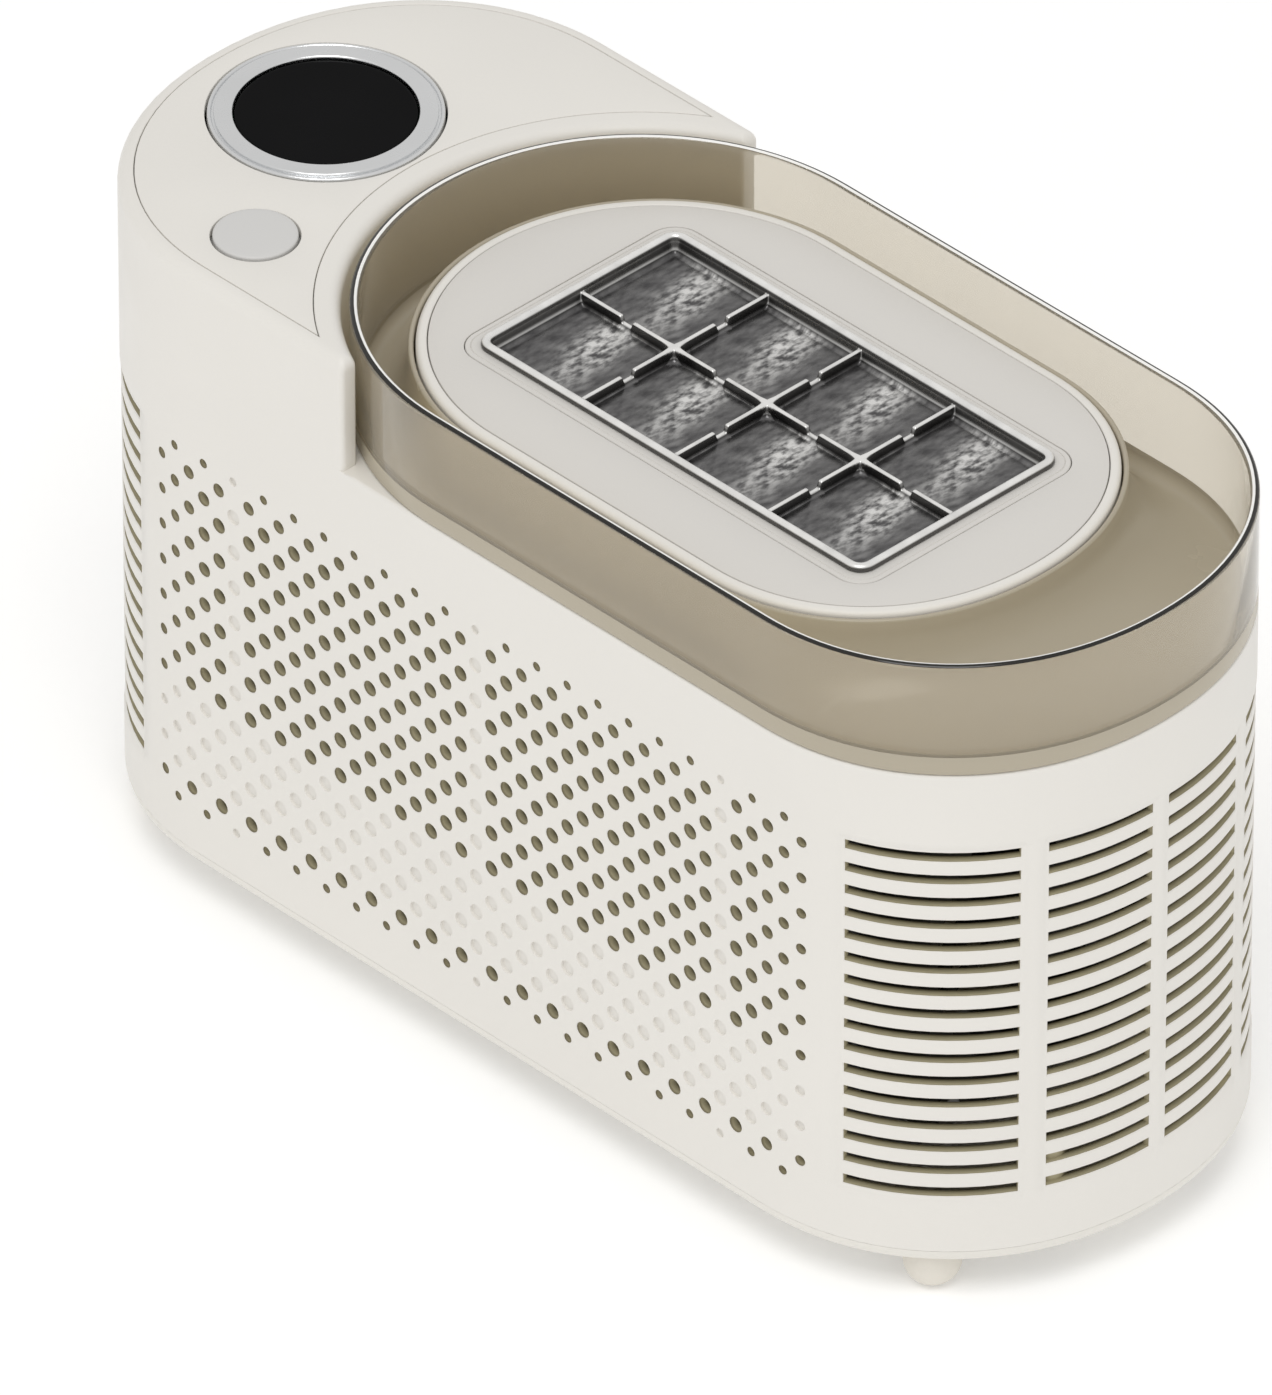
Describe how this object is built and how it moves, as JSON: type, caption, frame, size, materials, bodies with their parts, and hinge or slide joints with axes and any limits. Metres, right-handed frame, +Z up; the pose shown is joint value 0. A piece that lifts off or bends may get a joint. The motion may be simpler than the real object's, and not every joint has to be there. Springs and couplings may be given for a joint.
{
  "type": "countertop ice maker",
  "caption": "Countertop ice maker: perforated stadium-shaped body, control tower with round display, lift-off smoky tub round a chilled cube mold.",
  "frame": {"origin": "on the floor under the middle of the body, between the four feet", "axes": "+Z up, +Y to the rear where the control tower is, -Y to the front grille, -X to the side next to the start button"},
  "size_m": [0.1194, 0.279, 0.162],
  "materials": {
    "housing": "cream, fine satin texture",
    "plate": "light warm grey, satin",
    "mold_steel": "brushed, wet streaks",
    "tub": "smoky clear plastic, polished",
    "bezel": "satin silver",
    "lens": "black glass",
    "black_plastic": "moulded",
    "button": "light grey, satin",
    "steel": "plated",
    "board": "solder mask",
    "brass": "satin",
    "aluminium": "extruded",
    "ceramic": "white alumina",
    "foam": "closed-cell foam",
    "foot": "cream rubber"
  },
  "bodies": {
    "housing": {"body_shell": "housing", "base_pan": "housing", "top_panel": "housing", "platform_wall": "housing", "platform_plate": "plate", "mold_trim": "plate", "ice_mold": "mold_steel", "display_bezel": "bezel", "display_lens": "lens", "display_module": "black_plastic", "button_switch": "black_plastic", "control_board": "board", "driver_board": "board", "board_inductor": "brass", "board_capacitor_left": "black_plastic", "board_capacitor_right": "black_plastic", "board_heat_spreader": "aluminium", "power_inlet": "black_plastic", "cold_plate": "aluminium", "peltier_front": "ceramic", "peltier_rear": "ceramic", "temperature_probe": "brass", "insulation_block": "foam", "heat_sink": "aluminium", "clamp_screw_left": "steel", "clamp_screw_right": "steel", "fan_frame": "black_plastic", "fan_bearing": "brass", "fan_bracket": "aluminium", "fan_screw_lower_left": "steel", "fan_screw_lower_right": "steel", "fan_screw_upper_left": "steel", "fan_screw_upper_right": "steel", "base_screw_front_left": "steel", "base_screw_front_right": "steel", "base_screw_rear_left": "steel", "base_screw_rear_right": "steel", "foot_front_left": "foot", "foot_front_right": "foot", "foot_rear_left": "foot", "foot_rear_right": "foot"},
    "tub": {"ice_tub": "tub"},
    "button": {"start_button": "button", "button_spring": "steel"},
    "fan": {"fan_rotor": "black_plastic", "fan_shaft": "steel"}
  },
  "joints": [
    {"name": "tub_lift", "type": "slide", "parent": "housing", "child": "tub", "axis": [0, 0, 1], "range_m": [0, 0.06]},
    {"name": "button_press", "type": "slide", "parent": "housing", "child": "button", "axis": [0, 0, -1], "range_m": [0, 0.0015], "stiffness_N_per_m": 400, "deforming": ["button_spring"]},
    {"name": "fan_spin", "type": "hinge", "parent": "housing", "child": "fan", "pos_m": [0, -0.103, 0.076], "axis": [0, -1, 0], "continuous": true}
  ]
}
